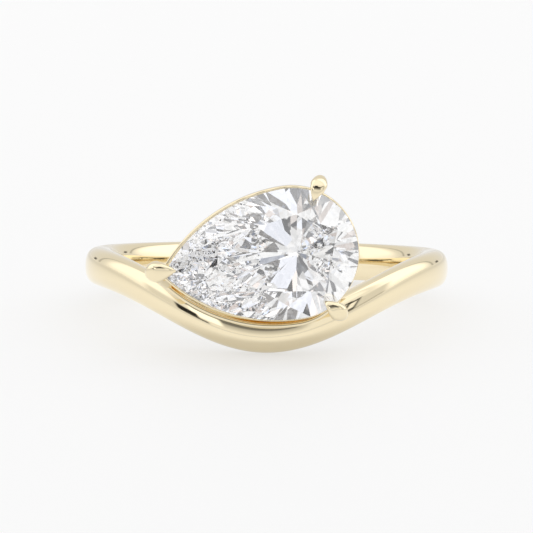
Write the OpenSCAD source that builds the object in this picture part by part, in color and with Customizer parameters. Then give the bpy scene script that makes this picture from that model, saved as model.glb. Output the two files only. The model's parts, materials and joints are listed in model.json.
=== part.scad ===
// Solitaire ring: a curved gold band that dips below a pear-cut stone, which three claws and a gallery hold.
// Millimetres. The ring rests on a surface as it lies by itself: on the bottom of its dip and on the back
// edge of its band. The stone faces -Y, +X is to the right and the surface is at z = 0.

/* [Band] */
// Diameter of the finger hole
finger_d = 16.5; // [15.5:0.1:17.5]
// Thickness of the band from the finger hole to its outer side
band_t = 1.75; // [1.5:0.05:2]
// Width of the band along the finger
band_w = 2.12; // [1.8:0.02:2.4]
// How far the band dips below the stone
dip_depth = 3.11; // [2.8:0.01:3.4]
// Half of the dip's width, seen from the front
dip_reach = 9.4; // [9:0.1:9.8]
// How narrow the dip is at its bottom: a lower value makes it broader
dip_narrowness = 0.84; // [0.7:0.02:1.2]

/* [Stone] */
// Width of the stone
stone_w = 6.8; // [6.5:0.05:7.1]
// Length of the stone
stone_l = 10.25; // [9.8:0.05:10.6]
// Height of the crown, from the girdle to the table
crown_h = 1.05; // [0.9:0.05:1.2]
// Depth of the pavilion, from the girdle to the culet
pavilion_h = 2.95; // [2.7:0.05:3.1]
// Thickness of the girdle
girdle_t = 0.12; // [0.08:0.01:0.2]
// Size of the table as a share of the stone's outline
table_share = 0.6; // [0.5:0.01:0.62]
// Turn of the stone's long axis from the ring's plane, in degrees
stone_turn = 9.8; // [0:0.1:15]

/* [Setting] */
// Distance of the stone's girdle from the middle of the finger hole
girdle_reach = 11.7; // [11.5:0.05:12]
// Place of the stone's round end to the right of the ring's middle
stone_x = 1.38; // [1.2:0.01:1.6]
// Height of the stone's round end above the ring's middle plane
stone_z = 1.2; // [1.1:0.01:1.4]
// How far the upper rail shows outside the stone
rim_show = 0.115; // [0.08:0.005:0.16]
// Depth of the upper rail behind the girdle
rim_h = 1.74; // [1.5:0.02:1.8]
// Thickness of the upper rail's wall
rail_t = 0.45; // [0.35:0.05:0.6]
// Thickness of the lower rail's wall
lower_rail_t = 0.37; // [0.33:0.01:0.41]
// Space left between the stone and the metal
stone_gap = 0.03; // [0.02:0.01:0.05]

/* [Hidden] */

// Band: its section is rounded outside and flat with eased edges at the finger, so it has two exponents.
// The section is widest inner_t away from the finger, and the finger hole is cut bore_margin deep into it.
finger_r = finger_d / 2;
inner_t = 0.8;
band_mid_r = finger_r + inner_t;
band_outer_r = finger_r + band_t;
outer_exponent = 2.6;
inner_exponent = 5;
bore_margin = 0.12;
hole_steps = 96;
dip_flats = 11;
band_steps = 120;
section_steps = 28;

// The pear outline is a half circle at the round end and two larger arcs that meet at the point.
head_r = stone_w / 2;
point_x = stone_l - head_r;
wing_r = (point_x * point_x + head_r * head_r) / (2 * head_r);
wing_offset = wing_r - head_r;
outline_steps = 80;

// Directions in which the main facets of the crown and of the pavilion face, from the round end to beside the
// point, and how the small facets are set out between them
beside_point = point_direction(0) - 1;
crown_directions = [0, 40, 80, 112, beside_point];
pavilion_directions = [0, 40, 80, 105, 125, beside_point];
star_slope_share = 0.6;
upper_half_shares = [0.25, 0.75];
lower_half_shares = [0.3, 0.7];
lower_half_depth = 0.75;
culet_x = 0.21;

// Setting: the lower rail lies round the upper one's back edge and a little nearer to the band's dip.
rim_shift = -0.065;
lower_rail_shift = [-0.1, -0.6, 0];
lower_rail_grow = 0.05;
lower_rail_low = -2.3;
lower_rail_high = -1;

// Claws, a row each: the direction it faces from the stone's round end, the place where it stands, how far
// outwards and sideways its shoulder and its tip are, its width and its roll. The left and the right one stand
// on the band, and the upper one stands on the lower rail.
foot_r = band_mid_r + 0.33;
on_rail = [stone_x + 1.28, 2.3 - girdle_reach, stone_z + 3.1];
left_claw = [180, on_band(-4.2, 0.48), [point_x + 0.27, -0.29], [point_x - 0.69, -0.12], 1.15, 10];
right_claw = [-60, on_band(3.95, 0.09), [head_r + 0.33, -0.03], [head_r - 0.45, -0.29], 0.98, 0];
upper_claw = [58.5, on_rail, [head_r + 0.37, 0.14], [head_r - 0.45, 0.09], 0.9, 0];
claw_rows = [left_claw, right_claw, upper_claw];
// The curve of a claw: outwards from its shoulder and up from the girdle, on its way to the tip
claw_bend_z = -1.2;
claw_neck = [-0.1, -0.55];
claw_bulge = [0.5, 0];
claw_crest = [0.45, 0.65];
claw_fall = [-0.35, 0.85];
claw_tip_z = 0.62;
// Half width and half thickness of a claw from its foot to its tip, as shares of its width
claw_widths = [[0, 0.3], [0.35, 0.32], [0.58, 0.43], [0.7, 0.5], [0.82, 0.41], [0.93, 0.2], [1, 0.03]];
claw_thicknesses = [[0, 0.34], [0.35, 0.36], [0.6, 0.46], [0.75, 0.36], [0.9, 0.19], [1, 0.05]];
// The end of a claw is filed a little flat on top, fully so a short way after it starts
claw_flatness = 0.7;
filed_from = 0.6;
filed_fully = 0.72;
claw_steps = 14;
claw_sides = 12;

// How the ring rests: the front raised, and a slight lean to the stone's heavier side
rest_tilt = 9.8;
rest_roll = 0.5;

function unit(v) = v / norm(v);

// The dip is drawn as seen from the front. Past the ring's sides the way is counted on, so it runs out smoothly.
function dip(x, y) =
    let (way = y < 0 ? abs(x) : 2 * norm([x, y]) - abs(x))
    way >= dip_reach ? 0
    : dip_depth * pow((1 + cos(180 * way / dip_reach)) / 2, dip_narrowness);

// Band: one rounded section is carried round the finger hole and lowered by the dip on its way.
function power(value, exponent) = sign(value) * pow(abs(value), exponent);

function section_point(turn) =
    let (outwards = cos(turn) > 0,
         exponent = 2 / (outwards ? outer_exponent : inner_exponent),
         reach = outwards ? band_outer_r - band_mid_r : band_mid_r - finger_r + bore_margin)
    [band_mid_r + reach * power(cos(turn), exponent), band_w / 2 * power(sin(turn), exponent)];

function band_point(angle, turn) =
    let (p = section_point(turn), x = p[0] * sin(angle), y = -p[0] * cos(angle))
    [x, y, p[1] - dip(x, y)];

band_points = [
    for (i = [0 : band_steps - 1], j = [0 : section_steps - 1])
        band_point(i * 360 / band_steps - 180, j * 360 / section_steps)
];

module band() {
    polyhedron(band_points, [
        for (i = [0 : band_steps - 1], j = [0 : section_steps - 1])
            let (i2 = (i + 1) % band_steps, j2 = (j + 1) % section_steps)
            [i * section_steps + j, i * section_steps + j2, i2 * section_steps + j2, i2 * section_steps + j]
    ], convexity = 6);
}

// The finger hole is truly round at the sides and the back, and in front, where the dip is deep, it is cut in
// narrow flats. The two stretches overlap behind the middle of the hole.
module dip_sector(reach, tip) {
    polygon([
        [0, tip],
        for (i = [-dip_flats : dip_flats])
            let (a = i * 360 / hole_steps)
            reach * [sin(a), -cos(a)]
    ]);
}

module finger_hole() {
    depth = 2 * band_outer_r;
    translate([0, 0, -depth / 2]) {
        difference() {
            cylinder(r = finger_r, h = depth, $fn = hole_steps);
            linear_extrude(depth)
                dip_sector(band_outer_r, 0);
        }
        linear_extrude(depth)
            dip_sector(finger_r, finger_r / 2);
    }
}

// Outline of the stone: the point that faces a direction, and the whole outline grown outwards
function outline_point(direction, grow = 0) =
    let (a = abs(direction),
         side = direction < 0 ? -1 : 1,
         p = a <= 90 ? (head_r + grow) * [cos(a), sin(a)]
            : (wing_r + grow) * [cos(a), sin(a)] - [0, wing_offset])
    [p[0], side * p[1]];

function point_direction(grow) = 180 - asin(wing_offset / (wing_r + grow));

module pear(grow) {
    end = point_direction(grow);
    polygon([for (k = [0 : outline_steps - 1]) outline_point(end * (2 * k / outline_steps - 1), grow)]);
}

// Facets are planes, each an outward direction and its distance from the middle of the round end.
function facet(direction, from, through) =
    let (along = [-sin(direction), cos(direction), 0],
         n = unit(cross(along, through - from)),
         out = n[0] * cos(direction) + n[1] * sin(direction) > 0 ? n : -n)
    [out, out * from];

function meet(a, b, c) =
    (a[1] * cross(b[0], c[0]) + b[1] * cross(c[0], a[0]) + c[1] * cross(a[0], b[0]))
    / (a[0] * cross(b[0], c[0]));

function at_height(p, z) = [p[0], p[1], z];

function table_corner(direction) =
    let (culet = [culet_x, 0])
    at_height(culet + table_share * (outline_point(direction) - culet), crown_h);

function crown_main(direction) =
    facet(direction, at_height(outline_point(direction), girdle_t / 2), table_corner(direction));

function slope(plane) = acos(plane[0][2]);

function star(first, second) =
    let (edge = table_corner(second) - table_corner(first),
         level = unit([edge[1], -edge[0], 0]),
         angle = star_slope_share * (slope(crown_main(first)) + slope(crown_main(second))) / 2,
         out = level * sin(angle) + [0, 0, cos(angle)])
    [out, out * table_corner(first)];

function pavilion_main(direction) =
    facet(direction, at_height(outline_point(direction), -girdle_t / 2), [culet_x, 0, -pavilion_h]);

function half_facets(first, second, shares, z, through) =
    [for (share = shares)
        let (direction = first + share * (second - first))
        facet(direction, at_height(outline_point(direction), z), through)];

function lower_meet(first, second) =
    let (culet = [culet_x, 0, -pavilion_h],
         corner = meet(pavilion_main(first), pavilion_main(second), [[0, 0, -1], girdle_t / 2]))
    corner + lower_half_depth * (culet - corner);

function mirrored(planes) = [for (p = planes) if (abs(p[0][1]) > 0.001) [[p[0][0], -p[0][1], p[0][2]], p[1]]];

function gaps(directions) = [for (i = [0 : len(directions) - 2]) [directions[i], directions[i + 1]]];

upper_side = concat(
    [for (d = crown_directions) crown_main(d)],
    [for (g = gaps(crown_directions)) star(g[0], g[1])],
    [for (g = gaps(crown_directions))
        each half_facets(g[0], g[1], upper_half_shares, girdle_t / 2,
            meet(crown_main(g[0]), crown_main(g[1]), star(g[0], g[1])))],
    [for (d = pavilion_directions) pavilion_main(d)],
    [for (g = gaps(pavilion_directions))
        each half_facets(g[0], g[1], lower_half_shares, -girdle_t / 2, lower_meet(g[0], g[1]))]
);
facets = concat(upper_side, mirrored(upper_side));

module behind(plane, grow) {
    size = 4 * stone_l;
    rotate([0, acos(plane[0][2]), atan2(plane[0][1], plane[0][0])])
        translate([-size / 2, -size / 2, plane[1] + grow - size])
            cube(size);
}

module cut_stone(grow = 0) {
    intersection() {
        translate([0, 0, -pavilion_h - grow])
            linear_extrude(pavilion_h + crown_h + 2 * grow)
                pear(grow);
        intersection_for (plane = facets)
            behind(plane, grow);
    }
}

// The head's own frame: the stone's round end is at its middle, the point lies to -X and the table faces +Z.
module on_head() {
    translate([stone_x, -girdle_reach, stone_z])
        rotate([90, 0, 0])
            rotate([0, 0, stone_turn])
                children();
}

// Rails: the upper one is the rim that the stone sits in, and the lower one is soldered to the band. Below the
// stone a narrow groove is left between them.
module rail(grow, wall, low, high) {
    translate([0, 0, low])
        linear_extrude(high - low)
            difference() {
                pear(grow);
                pear(grow - wall);
            }
}

module rails() {
    translate([rim_shift, 0, 0])
        rail(rim_show, rail_t, -girdle_t / 2 - rim_h, -girdle_t / 2);
    translate(lower_rail_shift)
        rail(lower_rail_grow, lower_rail_t, lower_rail_low, lower_rail_high);
}

// Claws: an oval section is carried along a curve, from the foot, out past the girdle and over the crown.
// A claw's own frame is the head's, turned so that +X is the direction the claw faces.
function on_band(x, up) =
    let (y = -sqrt(foot_r * foot_r - x * x))
    [x, y, up - dip(x, y)];

function from_claw(direction, p) =
    let (turn = direction + stone_turn)
    [stone_x + p[0] * cos(turn) - p[1] * sin(turn), -girdle_reach - p[2],
     stone_z + p[0] * sin(turn) + p[1] * cos(turn)];

function to_claw(direction, p) =
    let (turn = direction + stone_turn, x = p[0] - stone_x, y = p[2] - stone_z)
    [x * cos(turn) + y * sin(turn), y * cos(turn) - x * sin(turn), -p[1] - girdle_reach];

function bezier(points, t) =
    len(points) == 1 ? points[0]
    : bezier([for (i = [0 : len(points) - 2]) points[i] * (1 - t) + points[i + 1] * t], t);

function claw_path(foot, shoulder, tip) =
    let (middle = (foot + shoulder) / 2)
    [foot, [middle[0], middle[1], claw_bend_z],
     for (p = [claw_neck, claw_bulge, claw_crest]) [shoulder[0] + p[0], shoulder[1], p[1]],
     [shoulder[0] + claw_fall[0], (shoulder[1] + tip[1]) / 2, claw_fall[1]], tip];

function claw_ring(path, width, roll, t) =
    let (step = 0.01,
         middle = bezier(path, t),
         along = unit(bezier(path, t + step) - bezier(path, t - step)),
         level = unit([0, 1, 0] - along * along[1]),
         side = level * cos(roll) + cross(along, level) * sin(roll),
         across = cross(along, side),
         half_w = width * lookup(t, claw_widths),
         half_t = width * lookup(t, claw_thicknesses),
         filed = lookup(t, [[filed_from, 1], [filed_fully, claw_flatness]]))
    [for (j = [0 : claw_sides - 1])
        let (turn = j * 360 / claw_sides, exponent = sin(turn) < 0 ? filed : 1)
        middle + side * half_w * power(cos(turn), exponent) + across * half_t * power(sin(turn), exponent)];

function claw_points(row) =
    let (foot = to_claw(row[0], row[1]),
         shoulder = at_height(row[2], 0),
         tip = at_height(row[3], claw_tip_z),
         path = claw_path(foot, shoulder, tip))
    [for (i = [0 : claw_steps]) each claw_ring(path, row[4], row[5], i / claw_steps)];

module claw(row) {
    last = claw_steps * claw_sides;
    rotate([0, 0, row[0]])
        polyhedron(claw_points(row), concat(
            [[for (j = [0 : claw_sides - 1]) j]],
            [for (i = [0 : claw_steps - 1], j = [0 : claw_sides - 1])
                let (a = i * claw_sides, j2 = (j + 1) % claw_sides)
                [a + j, a + claw_sides + j, a + claw_sides + j2, a + j2]],
            [[for (j = [claw_sides - 1 : -1 : 0]) last + j]]
        ));
}

// Rest: the front is raised until the dip's bottom and the band's back edge stand level. The ring stands over
// the origin by its whole depth, from the back of the band to the front of the claws.
function rested(p) =
    let (x = p[0] * cos(rest_roll) + p[2] * sin(rest_roll), z = p[2] * cos(rest_roll) - p[0] * sin(rest_roll))
    [x, p[1] * cos(rest_tilt) + z * sin(rest_tilt), z * cos(rest_tilt) - p[1] * sin(rest_tilt)];

lift = -min([for (p = band_points) rested(p)[2]]);
back_y = max([for (p = band_points) rested(p)[1]]);
front_y = min([for (row = claw_rows, p = claw_points(row)) rested(from_claw(row[0], p))[1]]);

module at_rest() {
    translate([0, -(front_y + back_y) / 2, lift])
        rotate([-rest_tilt, 0, 0])
            rotate([0, rest_roll, 0])
                children();
}

module band_and_setting() {
    color([0.89, 0.82, 0.66])
        at_rest()
            difference() {
                union() {
                    band();
                    on_head() {
                        rails();
                        for (row = claw_rows)
                            claw(row);
                    }
                }
                finger_hole();
                on_head()
                    cut_stone(stone_gap);
            }
}

module stone() {
    color([0.93, 0.95, 0.98])
        at_rest()
            on_head()
                cut_stone();
}

band_and_setting();
stone();
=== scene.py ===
import json
from math import asin, cos, pi, radians, sin

import bpy
from mathutils import Euler, Matrix, Quaternion, Vector


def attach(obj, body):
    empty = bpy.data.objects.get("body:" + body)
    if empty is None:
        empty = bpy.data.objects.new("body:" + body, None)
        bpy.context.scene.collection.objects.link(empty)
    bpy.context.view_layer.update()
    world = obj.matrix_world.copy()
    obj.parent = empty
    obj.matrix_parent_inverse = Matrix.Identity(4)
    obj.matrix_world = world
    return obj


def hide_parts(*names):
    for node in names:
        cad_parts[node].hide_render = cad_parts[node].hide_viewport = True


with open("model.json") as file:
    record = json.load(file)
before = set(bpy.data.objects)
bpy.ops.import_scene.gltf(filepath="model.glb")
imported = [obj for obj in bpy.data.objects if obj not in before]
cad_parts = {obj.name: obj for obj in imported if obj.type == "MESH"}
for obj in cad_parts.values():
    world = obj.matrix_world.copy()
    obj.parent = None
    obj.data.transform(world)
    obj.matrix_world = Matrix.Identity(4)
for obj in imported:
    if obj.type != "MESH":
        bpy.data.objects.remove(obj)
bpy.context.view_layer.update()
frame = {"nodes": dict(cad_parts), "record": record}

# Band
# The ring's band, cast in 14-carat gold and polished to a mirror. Its section is domed outside and flat with
# eased edges at the finger, and its front dips in one smooth curve below the stone. The setting is soldered
# to the dip.
MM = 0.001
weld_distance = 0.001 * MM
smooth_angle = radians(40)
finger_r = 8.25 * MM
inner_t = 0.8 * MM
outer_t = 0.95 * MM
band_w = 2.12 * MM
# How square the section is outside and at the finger: 2 is an ellipse, and more is squarer
outer_exponent = 2.6
inner_exponent = 5
# Radius of the slight dome at the finger
comfort_r = 3.3 * MM
dip_depth = 3.11 * MM
dip_reach = 9.4 * MM
# Below 1 the bottom of the dip is wider than a plain wave's, and above 1 it is narrower
dip_narrowness = 0.84
band_steps = 120
section_steps = 32

finger_hole = frame["record"]["mounts"][0]
rest_tilt = radians(9.8)
rest_roll = radians(0.5)
rest = (Matrix.Translation(finger_hole["pos_m"]) @ Matrix.Rotation(-rest_tilt, 4, "X")
        @ Matrix.Rotation(rest_roll, 4, "Y"))


def linear(hex_colour):
    """A colour written as sRGB hex, as linear light."""
    shares = [int(hex_colour[i:i + 2], 16) / 255 for i in (1, 3, 5)]
    return [s / 12.92 if s <= 0.04045 else ((s + 0.055) / 1.055) ** 2.4 for s in shares] + [1]


def add_node(material, kind, settings=None, **links):
    """Adds a node, with its settings, and the values or the sockets that go into its inputs."""
    made = material.node_tree.nodes.new(kind)
    for name, value in (settings or {}).items():
        setattr(made, name, value)
    for name, value in links.items():
        socket = made.inputs[name.replace("_", " ")]
        if isinstance(value, bpy.types.NodeSocket):
            material.node_tree.links.new(value, socket)
        else:
            socket.default_value = value
    return made


def new_material(name):
    """A material that has no nodes yet."""
    material = bpy.data.materials.new(name)
    material.use_nodes = True
    material.node_tree.nodes.clear()
    return material


# Buffing leaves wipes in soft patches, and hairlines in them that are finer than the picture shows
wipe_size = 1.25 * MM
smoothest = 0.035
roughest = 0.075


def polished_gold():
    """14-carat yellow gold, buffed: a mirror with a pale straw colour that the hairlines only just soften."""
    material = new_material("buffed 14-carat gold")
    place = add_node(material, "ShaderNodeTexCoord")
    wipes = add_node(material, "ShaderNodeTexNoise", Vector=place.outputs["Object"], Scale=1 / wipe_size,
                     Detail=3)
    roughness = add_node(material, "ShaderNodeMapRange", Value=wipes.outputs["Fac"], To_Min=smoothest,
                         To_Max=roughest)
    gold = add_node(material, "ShaderNodeBsdfPrincipled", Base_Color=linear("#F2E4C3"), Metallic=1,
                    Roughness=roughness.outputs["Result"])
    add_node(material, "ShaderNodeOutputMaterial", Surface=gold.outputs["BSDF"])
    return material


def dip(x, y):
    """How far the band is lowered at a place: the way from the ring's front runs on past its sides."""
    reach = (x * x + y * y) ** 0.5
    way = abs(x) if y < 0 else 2 * reach - abs(x)
    return 0 if way >= dip_reach else dip_depth * ((1 + cos(pi * way / dip_reach)) / 2) ** dip_narrowness


def power(value, exponent):
    """A value raised to an exponent, with its sign kept."""
    return abs(value) ** exponent * (1 if value > 0 else -1)


def apply_modifier(piece, kind, **settings):
    """Adds a modifier with its settings and applies it to the piece's mesh."""
    modifier = piece.modifiers.new(kind.lower(), kind)
    for name, value in settings.items():
        setattr(modifier, name, value)
    bpy.ops.object.modifier_apply(modifier=modifier.name)


def finish_piece(piece, name, material, cut=None):
    """Lays a piece as the ring rests, cuts what it leaves room for, and gives it its metal and its body."""
    piece.name = piece.data.name = name
    piece.data.materials.clear()
    piece.data.materials.append(material)
    piece.matrix_world = rest @ piece.matrix_world
    bpy.ops.object.transform_apply(location=True, rotation=True, scale=True)
    if cut:
        cut(piece)
    bpy.ops.object.shade_smooth_by_angle(angle=smooth_angle)
    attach(piece, "root")
    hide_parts("band_and_setting")
    # Light that comes out of the stone passes the metal by, so that the tent alone lights the stone's facets
    piece.visible_transmission = False


gold = polished_gold()
bpy.ops.object.select_all(action="DESELECT")
bpy.ops.mesh.primitive_circle_add(vertices=section_steps, radius=1, rotation=(pi / 2, 0, 0))
band = bpy.context.object
bpy.ops.object.transform_apply(rotation=True)
for vertex in band.data.vertices:
    across, up = vertex.co.x, vertex.co.z
    exponent = 2 / (outer_exponent if across > 0 else inner_exponent)
    height = band_w / 2 * power(up, exponent)
    half = outer_t if across > 0 else inner_t - height ** 2 / (2 * comfort_r)
    vertex.co = (finger_r + inner_t + half * power(across, exponent), 0, height)
bpy.ops.object.mode_set(mode="EDIT")
bpy.ops.mesh.select_all(action="SELECT")
bpy.ops.mesh.spin(steps=band_steps, angle=2 * pi, center=(0, 0, 0), axis=(0, 0, 1))
bpy.ops.mesh.select_all(action="SELECT")
bpy.ops.mesh.remove_doubles(threshold=weld_distance)
bpy.ops.mesh.normals_make_consistent(inside=False)
bpy.ops.object.mode_set(mode="OBJECT")
for vertex in band.data.vertices:
    vertex.co.z -= dip(vertex.co.x, vertex.co.y)
apply_modifier(band, "SUBSURF", levels=1, render_levels=1)
finish_piece(band, "band", gold)

# Gallery
# Two thin rails in the pear shape of the stone, of the same gold. The upper one is the rim that the girdle
# sits in, and the lower one, behind it, is soldered to the band's dip. Below the stone a groove parts them.
head_r = 3.4 * MM
point_x = 6.85 * MM
wing_r = (point_x ** 2 + head_r ** 2) / (2 * head_r)
wing_offset = wing_r - head_r
stone_turn = radians(9.8)
stone_place = Vector((1.38, -11.7, 1.2)) * MM
stone_gap = 0.03 * MM
outline_steps = 160
corner_steps = 3
corner_angle = radians(50)
# The head's own frame: the girdle lies in its XY plane, the stone's point on -X, and the table faces +Z
head = (Matrix.Translation(stone_place) @ Matrix.Rotation(pi / 2, 4, "X")
        @ Matrix.Rotation(stone_turn, 4, "Z"))


def outline_point(share, grow):
    """A place on the stone's outline grown outwards: from -1 at the point, round the round end, to 1."""
    direction = share * (pi - asin(wing_offset / (wing_r + grow)))
    a = abs(direction)
    side = 1 if direction >= 0 else -1
    if a <= pi / 2:
        return (head_r + grow) * cos(a), side * (head_r + grow) * sin(a)
    return (wing_r + grow) * cos(a), side * ((wing_r + grow) * sin(a) - wing_offset)


def seat_stone(piece):
    """Cuts the seat of the stone into a piece, a hair wider than the stone itself."""
    bpy.ops.object.select_all(action="DESELECT")
    cutter = frame["nodes"]["stone"].copy()
    cutter.data = cutter.data.copy()
    bpy.context.scene.collection.objects.link(cutter)
    cutter.select_set(True)
    bpy.context.view_layer.objects.active = cutter
    bpy.ops.object.mode_set(mode="EDIT")
    bpy.ops.mesh.select_all(action="SELECT")
    bpy.ops.mesh.remove_doubles(threshold=weld_distance)
    bpy.ops.transform.shrink_fatten(value=stone_gap)
    bpy.ops.object.mode_set(mode="OBJECT")
    bpy.ops.object.select_all(action="DESELECT")
    piece.select_set(True)
    bpy.context.view_layer.objects.active = piece
    apply_modifier(piece, "BOOLEAN", object=cutter, operation="DIFFERENCE", solver="EXACT")
    bpy.data.objects.remove(cutter)


def add_rail(name, grow, wall, shift, low, high, rounding):
    """A rail with an even wall. Its outside is the stone's outline, grown and shifted, and its lower and
    upper edges are at heights over the girdle."""
    corners = ((grow, low), (grow - wall, low), (grow - wall, high), (grow, high))
    bpy.ops.object.select_all(action="DESELECT")
    bpy.ops.mesh.primitive_circle_add(vertices=outline_steps, radius=head_r)
    rail = bpy.context.object
    bpy.ops.object.mode_set(mode="EDIT")
    bpy.ops.mesh.select_all(action="SELECT")
    for _ in corners[1:]:
        bpy.ops.mesh.extrude_region_move(TRANSFORM_OT_translate={"value": (0, 0, wall)})
    bpy.ops.object.mode_set(mode="OBJECT")
    for i, vertex in enumerate(rail.data.vertices):
        corner, step = divmod(i, outline_steps)
        x, y = outline_point(2 * step / outline_steps - 1, corners[corner][0])
        vertex.co = (x + shift[0], y + shift[1], corners[corner][1])
    bpy.ops.object.mode_set(mode="EDIT")
    bpy.ops.mesh.select_all(action="DESELECT")
    bpy.ops.mesh.select_non_manifold()
    bpy.ops.mesh.bridge_edge_loops()
    bpy.ops.mesh.select_all(action="SELECT")
    bpy.ops.mesh.normals_make_consistent(inside=False)
    bpy.ops.object.mode_set(mode="OBJECT")
    apply_modifier(rail, "BEVEL", width=rounding, segments=corner_steps, limit_method="ANGLE",
                   angle_limit=corner_angle)
    rail.matrix_world = head
    finish_piece(rail, name, gold, seat_stone)


add_rail("upper_rail", grow=0.115 * MM, wall=0.45 * MM, shift=(-0.065 * MM, 0.04 * MM), low=-1.8 * MM,
         high=-0.06 * MM, rounding=0.07 * MM)
add_rail("lower_rail", grow=-0.1 * MM, wall=0.22 * MM, shift=(-0.3 * MM, -0.55 * MM), low=-2.3 * MM,
         high=-1 * MM, rounding=0.07 * MM)

# Claws
# Three tapered wires, the two lower ones soldered to the band and the upper one to the outside of the rim.
# They are bent over the crown, and their ends are filed to teardrops, a little flat on top, that point to the
# stone's middle.
claw_steps = 48
claw_sides = 48
# The wire starts as a plain stack of rings, and its slope is taken over a small share of the way
claw_step_l = 0.1 * MM
slope_step = 0.01
# Half width and half thickness at shares of the way from the foot to the tip, as shares of the claw's width
claw_widths = ((0, 0.3), (0.35, 0.32), (0.58, 0.43), (0.7, 0.5), (0.82, 0.41), (0.93, 0.2), (1, 0.03))
claw_thicknesses = ((0, 0.34), (0.35, 0.36), (0.6, 0.46), (0.75, 0.36), (0.9, 0.19), (1, 0.05))
# The curve of a claw in millimetres, outwards from its shoulder and up from the girdle, on its way to the tip
claw_bend_z = -1.2
claw_neck = (-0.1, -0.55)
claw_bulge = (0.5, 0)
claw_crest = (0.45, 0.65)
claw_fall = (-0.35, 0.85)
claw_tip_z = 0.62
# The end is filed a little flat on top, fully so a short share of the way after it starts
claw_flatness = 0.7
filed_from = 0.6
filed_over = 0.12


def lookup(t, table):
    """The value at a share of the way, in a table of shares and values."""
    for (t0, v0), (t1, v1) in zip(table, table[1:]):
        if t <= t1:
            return v0 + (v1 - v0) * (t - t0) / (t1 - t0)
    return table[-1][1]


def bezier(points, t):
    """The place at a share of the way along the smooth curve that the points lead."""
    while len(points) > 1:
        points = [a.lerp(b, t) for a, b in zip(points, points[1:])]
    return points[0]


def add_claw(name, direction, foot, shoulder, tip, width, roll):
    """A claw that faces a direction from the stone's middle and rolls about its own line, both in degrees.
    Its foot is a place on the ring, its shoulder and tip are so far outwards and sideways, and its width is
    that of its end, all in millimetres."""
    turn = Matrix.Rotation(radians(direction), 4, "Z")
    foot = (head @ turn).inverted() @ (Vector(foot) * MM)
    shoulder = Vector((*shoulder, 0)) * MM
    tip = Vector((*tip, claw_tip_z)) * MM
    path = [foot, Vector(((foot.x + shoulder.x) / 2, (foot.y + shoulder.y) / 2, claw_bend_z * MM))]
    path += [shoulder + Vector((out, 0, up)) * MM for out, up in (claw_neck, claw_bulge, claw_crest)]
    path += [Vector((shoulder.x + claw_fall[0] * MM, (shoulder.y + tip.y) / 2, claw_fall[1] * MM)), tip]
    bpy.ops.object.select_all(action="DESELECT")
    bpy.ops.mesh.primitive_circle_add(vertices=claw_sides, radius=claw_widths[0][1] * width * MM,
                                      fill_type="NGON")
    claw = bpy.context.object
    bpy.ops.object.mode_set(mode="EDIT")
    bpy.ops.mesh.select_all(action="SELECT")
    for _ in range(claw_steps):
        bpy.ops.mesh.extrude_region_move(TRANSFORM_OT_translate={"value": (0, 0, claw_step_l)})
    bpy.ops.object.mode_set(mode="OBJECT")
    for i, vertex in enumerate(claw.data.vertices):
        ring, corner = divmod(i, claw_sides)
        t = ring / claw_steps
        along = (bezier(path, t + slope_step) - bezier(path, t - slope_step)).normalized()
        side = (Vector((0, 1, 0)) - along * along.y).normalized()
        side.rotate(Quaternion(along, radians(roll)))
        across = along.cross(side)
        angle = 2 * pi * corner / claw_sides
        filing = 0 if sin(angle) >= 0 else min(1, max(0, (t - filed_from) / filed_over))
        exponent = 1 - (1 - claw_flatness) * filing
        vertex.co = (bezier(path, t)
                     + side * width * MM * lookup(t, claw_widths) * power(cos(angle), exponent)
                     + across * width * MM * lookup(t, claw_thicknesses) * power(sin(angle), exponent))
    bpy.ops.object.mode_set(mode="EDIT")
    bpy.ops.mesh.select_all(action="SELECT")
    bpy.ops.mesh.normals_make_consistent(inside=False)
    bpy.ops.object.mode_set(mode="OBJECT")
    claw.matrix_world = head @ turn
    finish_piece(claw, name, gold, seat_stone)


add_claw("left_claw", direction=180, foot=(-4.2, -8.4, -1.5), shoulder=(7.12, -0.29), tip=(6.16, -0.12),
         width=1.15, roll=10)
add_claw("right_claw", direction=-60, foot=(3.95, -8.5, -2), shoulder=(3.73, -0.03), tip=(2.95, -0.29),
         width=0.98, roll=0)
add_claw("upper_claw", direction=58.5, foot=(2.66, -9.4, 4.3), shoulder=(3.77, 0.14), tip=(2.95, 0.09),
         width=0.9, roll=0)

# Stone
# A pear-cut diamond, colourless, its facets ground flat and polished. It sits in the rim, held by the three
# claws. Its solid already has its facets, so it only gets its material.
diamond_ior = 2.417


def cut_diamond():
    """Diamond: clear, with the highest index of the common gems, so that most light in it comes back out."""
    material = new_material("polished diamond")
    diamond = add_node(material, "ShaderNodeBsdfPrincipled", Base_Color=linear("#FFFFFF"), Roughness=0,
                       IOR=diamond_ior, Transmission_Weight=1)
    add_node(material, "ShaderNodeOutputMaterial", Surface=diamond.outputs["BSDF"])
    return material


stone = frame["nodes"]["stone"]
stone.data.materials.clear()
stone.data.materials.append(cut_diamond())

# Floor
# A white table top of matt paper, evenly bright as the camera sees it. In the gold's reflections it shows a
# painted pool of light, with painted shade right under the ring's front, gone some 50 mm away.
floor_size = 2
paper_glow = 0.6
painted_pool_reach = 100 * MM
painted_pool_middle = (0, -6 * MM, 0)
# How bright the painted pool of light and shade is in reflections, at shares of its reach
painted_pool_glows = ((0, 0.46), (0.045, 0.48), (0.065, 0.61), (0.085, 0.68), (0.2, 0.65), (0.34, 0.55),
              (0.48, 0.42), (0.7, 0.4), (1, 0.46))


def set_stops(ramp, stops):
    """Gives a colour ramp its stops: shares that rise from 0 to 1, with their colours."""
    elements = ramp.color_ramp.elements
    ends = {0: 0, len(stops) - 1: -1}
    for i, (share, colour) in enumerate(stops):
        stop = elements[ends[i]] if i in ends else elements.new(share)
        stop.position = share
        stop.color = colour


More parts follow.
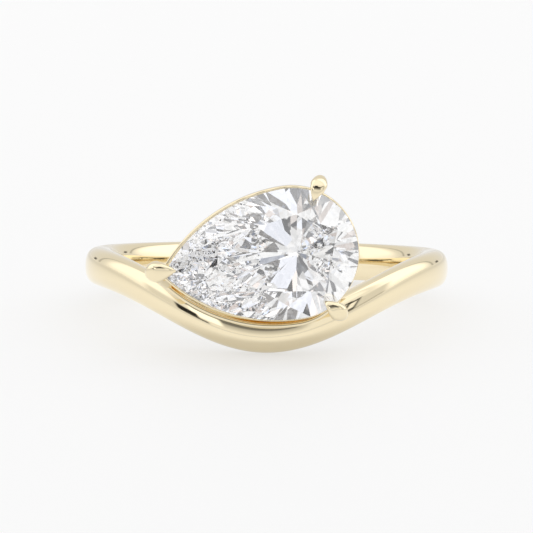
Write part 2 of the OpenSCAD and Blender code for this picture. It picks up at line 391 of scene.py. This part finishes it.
def matt_paper():
    """White paper, matt and unprinted, that also glows a little, as a table does in a tent of light; the gold
    mirrors a painted pool of light and shade on it.
    """
    material = new_material("matt white paper")
    place = add_node(material, "ShaderNodeTexCoord")
    away = add_node(material, "ShaderNodeVectorMath", {"operation": "DISTANCE"},
                    Vector=place.outputs["Object"])
    away.inputs[1].default_value = painted_pool_middle
    reached = add_node(material, "ShaderNodeMapRange", Value=away.outputs["Value"], From_Max=painted_pool_reach)
    painted_pool = add_node(material, "ShaderNodeValToRGB", Fac=reached.outputs["Result"])
    set_stops(painted_pool, [(share, (glow, glow, glow, 1)) for share, glow in painted_pool_glows])
    # Painted pool of light and shade: rays mirrored off the gold see it, and the camera sees only the even
    # glow
    seen = add_node(material, "ShaderNodeLightPath")
    glow = add_node(material, "ShaderNodeMix", Factor=seen.outputs["Is Glossy Ray"], A=paper_glow,
                    B=painted_pool.outputs["Color"])
    paper = add_node(material, "ShaderNodeBsdfPrincipled", Base_Color=linear("#949494"), Roughness=0.7,
                     Emission_Color=linear("#FFFFFF"), Emission_Strength=glow.outputs["Result"])
    add_node(material, "ShaderNodeOutputMaterial", Surface=paper.outputs["BSDF"])
    return material


bpy.ops.object.select_all(action="DESELECT")
bpy.ops.mesh.primitive_plane_add(size=floor_size)
floor = bpy.context.object
floor.name = "floor"
floor.data.materials.append(matt_paper())

# Light tent
# White cloth all round the ring, lit from outside, with brighter and darker panels and dark seams that the
# gold mirrors. Rays that have passed through the stone see a painted patchwork of glints instead.
cloth_brightness = 1
# A row for each panel or seam, a later one over an earlier one: azimuth of its middle, from the camera to the
# right, its elevation, half width and half height, softness of the edge, all in degrees, and brightness
tent_rows = (
    (180, 30, 55, 40, 20, 0.82),
    (-88, 40, 30, 37, 16, 1.35),
    (98, 44, 25, 41, 20, 1.5),
    (0, 60, 60, 22, 10, 1.2),
    (-66, 2, 14, 9, 10, 0.82),
    (66, 8, 14, 12, 10, 0.8),
    (62, 0, 16, 1.5, 3, 0.5),
    (-133, 22, 1.5, 24, 3, 0.5),
    (131, 22, 1.5, 24, 3, 0.5),
    (-10, 12.5, 35, 7, 10, 0.6),
    (-12, 17.2, 31, 5.3, 5, 0.2),
    (-37, 11, 10, 6, 4, 1.5),
    (-50.5, 2.5, 7.5, 5.5, 3, 0.02),
    (-44, 0, 7, 2.5, 3, 0.1),
    (52, 12, 5, 11, 3, 0.1),
    (52.5, 11, 2.5, 6, 2, 1.1),
    (-143, 1, 3, 3, 3, 0.15),
    (141, 1, 3, 3, 3, 0.15),
    (-50, 24, 3.5, 6, 2, 0.05),
    (0, 24, 50, 2.5, 2, 0.03),
    (-4, 25, 13, 6, 3, 0.02),
)
# Past this azimuth a panel goes over the tent's back, where the azimuth jumps by a full turn
back_azimuth = 170
full_turn = 360
# Painted glints for the stone: rays through its facets see the tent as scraps, white, grey and dim, and some
# a
# little bluish or warm: shares of the scraps with their brightness, and shares with their tint
glint_size = 0.5
glint_shift = (27, 0, 0)
painted_glints = ((0, 0), (0.2, 0.02), (0.21, 0.15), (0.45, 0.35), (0.46, 0.5), (0.65, 0.7), (0.66, 1.1), (1, 1.6))
painted_glint_tints = ((0, "#D6E3FF"), (0.3, "#F6F8FF"), (0.6, "#FFFCFA"), (1, "#FFEDE3"))
# The curve of the scraps only holds values up to 1, so it is drawn at half the brightness
glint_scale = 2

world = bpy.data.worlds.new("light tent")
bpy.context.scene.world = world
world.use_nodes = True
world.node_tree.nodes.clear()


def tent_math(operation, *values):
    """The result of a sum on values or sockets."""
    node = add_node(world, "ShaderNodeMath", {"operation": operation})
    for socket, value in zip(node.inputs, values):
        if isinstance(value, bpy.types.NodeSocket):
            world.node_tree.links.new(value, socket)
        else:
            socket.default_value = value
    return node.outputs[0]


def tent_edge(value, middle, half, soft):
    """1 where a value is nearer to the middle than the half width and 0 past it, with a soft step between."""
    off = tent_math("ABSOLUTE", tent_math("SUBTRACT", value, middle))
    edge = add_node(world, "ShaderNodeMapRange", {"interpolation_type": "SMOOTHSTEP"}, Value=off,
                    From_Min=half - soft / 2, From_Max=half + soft / 2, To_Min=1, To_Max=0)
    return edge.outputs["Result"]


way = add_node(world, "ShaderNodeTexCoord")
axes = add_node(world, "ShaderNodeSeparateXYZ", Vector=way.outputs["Generated"])
forward = tent_math("MULTIPLY", axes.outputs["Y"], -1)
azimuth = tent_math("DEGREES", tent_math("ARCTAN2", axes.outputs["X"], forward))
elevation = tent_math("DEGREES", tent_math("ARCSINE", axes.outputs["Z"]))
light = cloth_brightness
for middle, height, half_width, half_height, soft, brightness in tent_rows:
    round_azimuth = azimuth
    if abs(middle) > back_azimuth:
        is_left = tent_math("LESS_THAN", azimuth, 0)
        round_azimuth = tent_math("ADD", azimuth, tent_math("MULTIPLY", is_left, full_turn))
    cover = tent_math("MULTIPLY", tent_edge(round_azimuth, middle, half_width, soft),
                      tent_edge(elevation, height, half_height, soft))
    keep = tent_math("SUBTRACT", 1, cover)
    light = tent_math("ADD", tent_math("MULTIPLY", keep, light), tent_math("MULTIPLY", cover, brightness))

shifted = add_node(world, "ShaderNodeMapping", Vector=way.outputs["Generated"], Location=glint_shift)
scraps = add_node(world, "ShaderNodeTexVoronoi", Vector=shifted.outputs["Vector"], Scale=1 / glint_size)
scrap = add_node(world, "ShaderNodeSeparateColor", Color=scraps.outputs["Color"])
glint = add_node(world, "ShaderNodeFloatCurve", Value=scrap.outputs["Red"])
points = glint.mapping.curves[0].points
points[0].location = (painted_glints[0][0], painted_glints[0][1] / glint_scale)
points[-1].location = (painted_glints[-1][0], painted_glints[-1][1] / glint_scale)
for share, brightness in painted_glints[1:-1]:
    points.new(share, brightness / glint_scale)
for point in points:
    point.handle_type = "VECTOR"
glint.mapping.update()
tint = add_node(world, "ShaderNodeValToRGB", Fac=scrap.outputs["Green"])
set_stops(tint, [(share, linear(colour)) for share, colour in painted_glint_tints])

# Painted glints: rays that have passed through the stone see the patchwork, and all other rays the plain tent
ray = add_node(world, "ShaderNodeLightPath")
plain_tent = add_node(world, "ShaderNodeBackground", Color=(1, 1, 1, 1), Strength=light)
painted_glints_seen_through = add_node(world, "ShaderNodeBackground", Color=tint.outputs["Color"],
                        Strength=tent_math("MULTIPLY", glint.outputs["Value"], glint_scale))
tent = add_node(world, "ShaderNodeMixShader", Fac=ray.outputs["Is Transmission Ray"])
world.node_tree.links.new(plain_tent.outputs["Background"], tent.inputs[1])
world.node_tree.links.new(painted_glints_seen_through.outputs["Background"], tent.inputs[2])
add_node(world, "ShaderNodeOutputWorld", Surface=tent.outputs["Shader"])

# Camera
# A long lens that looks down on the ring from the front, at the photo's angle to it. The light is followed
# through enough facets and mirrors for the stone to have no dark holes.
camera_distance = 200 * MM
camera_elevation = radians(12.3)
stone_bounces = 64
gold_bounces = 28
ring_middle = Vector(finger_hole["pos_m"])
to_camera = Vector((0, -cos(camera_elevation), sin(camera_elevation)))
camera_data = bpy.data.cameras.new("camera")
camera_data.lens = 244.7
camera_data.sensor_width = 36
camera_data.clip_start = 10 * MM
camera = bpy.data.objects.new("camera", camera_data)
camera.location = ring_middle + camera_distance * to_camera
camera.rotation_euler = Euler((pi / 2 - camera_elevation, 0, 0))
bpy.context.scene.collection.objects.link(camera)
bpy.context.scene.camera = camera
bpy.context.scene.view_settings.view_transform = "Standard"
bpy.context.scene.cycles.max_bounces = stone_bounces
bpy.context.scene.cycles.transmission_bounces = stone_bounces
bpy.context.scene.cycles.glossy_bounces = gold_bounces
